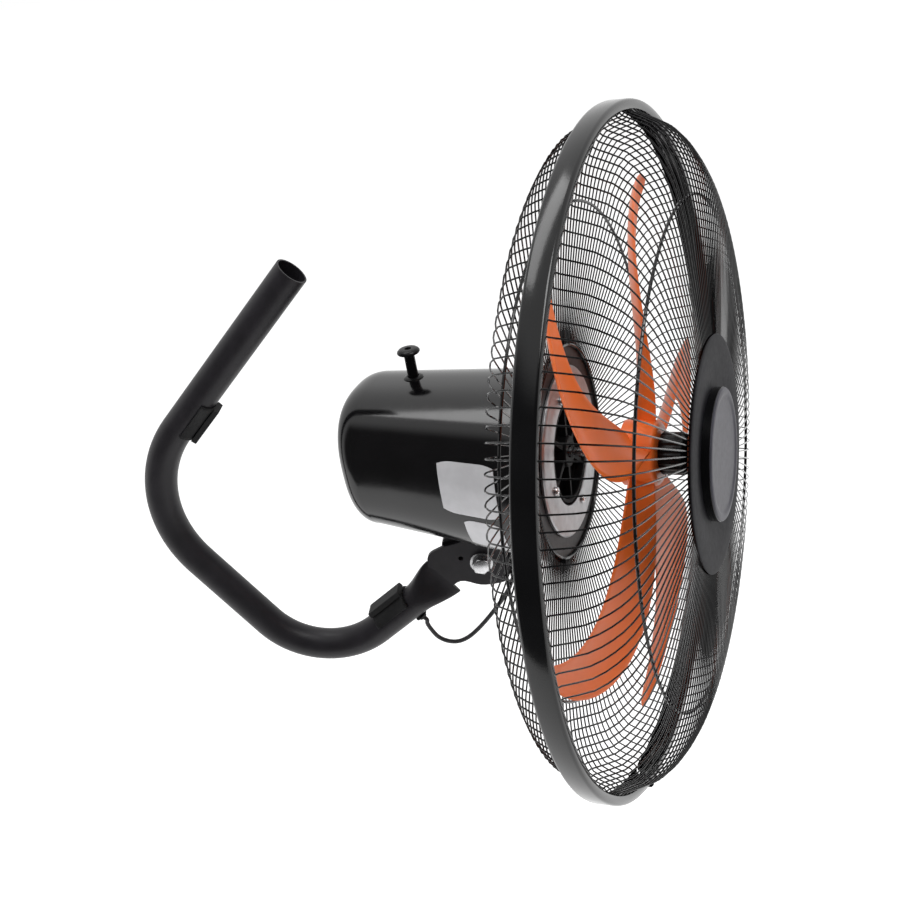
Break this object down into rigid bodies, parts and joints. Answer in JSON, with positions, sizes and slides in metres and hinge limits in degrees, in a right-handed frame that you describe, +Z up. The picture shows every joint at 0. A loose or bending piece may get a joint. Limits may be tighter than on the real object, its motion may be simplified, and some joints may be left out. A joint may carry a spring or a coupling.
{
  "type": "wall mounted fan",
  "caption": "Oscillating wall fan: a wire cage guard round a moulded blade, a motor in a rounded cover, and a tilt neck on a bent tube arm.",
  "frame": {"origin": "middle of the arm tube's open end, which goes into the wall socket", "axes": "the fan blows towards -Y, +Z up, +X to the right of the guard seen from the front"},
  "size_m": [0.56, 0.5013, 0.56],
  "materials": {
    "gloss_black": "gloss black enamel",
    "cover_black": "gloss black",
    "satin_black": "satin black",
    "black_plastic": "satin black",
    "arm_paint": "satin charcoal powder coat",
    "plate_grey": "dark grey",
    "badge_grey": "silver grey",
    "orange": "orange",
    "cast_metal": "die cast",
    "steel": "zinc plated",
    "laminations": "varnished laminations",
    "copper": "enamelled copper",
    "nylon": "natural",
    "label": "blank sticker",
    "rubber": "black",
    "cord_grey": "dark grey"
  },
  "bodies": {
    "arm": {"arm_tube": "arm_paint", "arm_grommet": "rubber", "tilt_bolt": "steel", "bolt_washer": "steel", "tilt_nut": "steel", "upper_arm_clip": "rubber", "lower_arm_clip": "rubber", "cord_loop": "cord_grey"},
    "neck": {"tilt_neck": "satin_black", "neck_gland": "rubber"},
    "head": {"front_guard": "gloss_black", "front_guard_hoop": "gloss_black", "rear_guard": "gloss_black", "rear_guard_hoop": "gloss_black", "guard_band": "gloss_black", "band_screw": "steel", "band_nut": "steel", "front_plate": "plate_grey", "front_badge": "badge_grey", "rear_guard_disc": "satin_black", "guard_clamp_ring": "cast_metal", "clamp_screw_1": "steel", "clamp_screw_2": "steel", "clamp_screw_3": "steel", "clamp_screw_4": "steel", "front_end_shield": "satin_black", "rear_end_shield": "cast_metal", "stator_core": "laminations", "front_winding": "copper", "rear_winding": "copper", "front_bearing": "steel", "rear_bearing": "steel", "motor_cover": "cover_black", "side_label": "label", "lower_label": "label", "gear_case": "cast_metal", "wheel_axle": "steel", "knob_collar": "black_plastic", "pivot_housing": "cast_metal", "run_capacitor": "black_plastic"},
    "rotor": {"motor_shaft": "steel", "rotor_core": "laminations", "fan_blade": "orange", "blade_nut": "black_plastic"},
    "knob": {"swing_knob": "black_plastic"},
    "wheel": {"worm_wheel": "nylon"}
  },
  "joints": [
    {"name": "head_tilt", "type": "hinge", "parent": "arm", "child": "neck", "pos_m": [0.03728, -0.10208, -0.292], "axis": [0.9613, 0.2756, 0], "range_deg": [-20, 30], "deforming": ["cord_loop"]},
    {"name": "head_swing", "type": "hinge", "parent": "neck", "child": "head", "pos_m": [0.03728, -0.10208, -0.182], "axis": [0, 0, 1], "range_deg": [-24, 56]},
    {"name": "rotor_spin", "type": "hinge", "parent": "head", "child": "rotor", "pos_m": [0.03728, -0.25708, -0.182], "axis": [0, 1, 0], "continuous": true},
    {"name": "knob_slide", "type": "slide", "parent": "head", "child": "knob", "axis": [0, 0, 1], "range_m": [-0.008, 0]},
    {"name": "wheel_turn", "type": "hinge", "parent": "head", "child": "wheel", "pos_m": [0.03728, -0.05408, -0.2048], "axis": [1, 0, 0], "continuous": true}
  ],
  "couplings": [
    {"joint": "wheel_turn", "follows": "rotor_spin", "ratio": 0.033333}
  ]
}
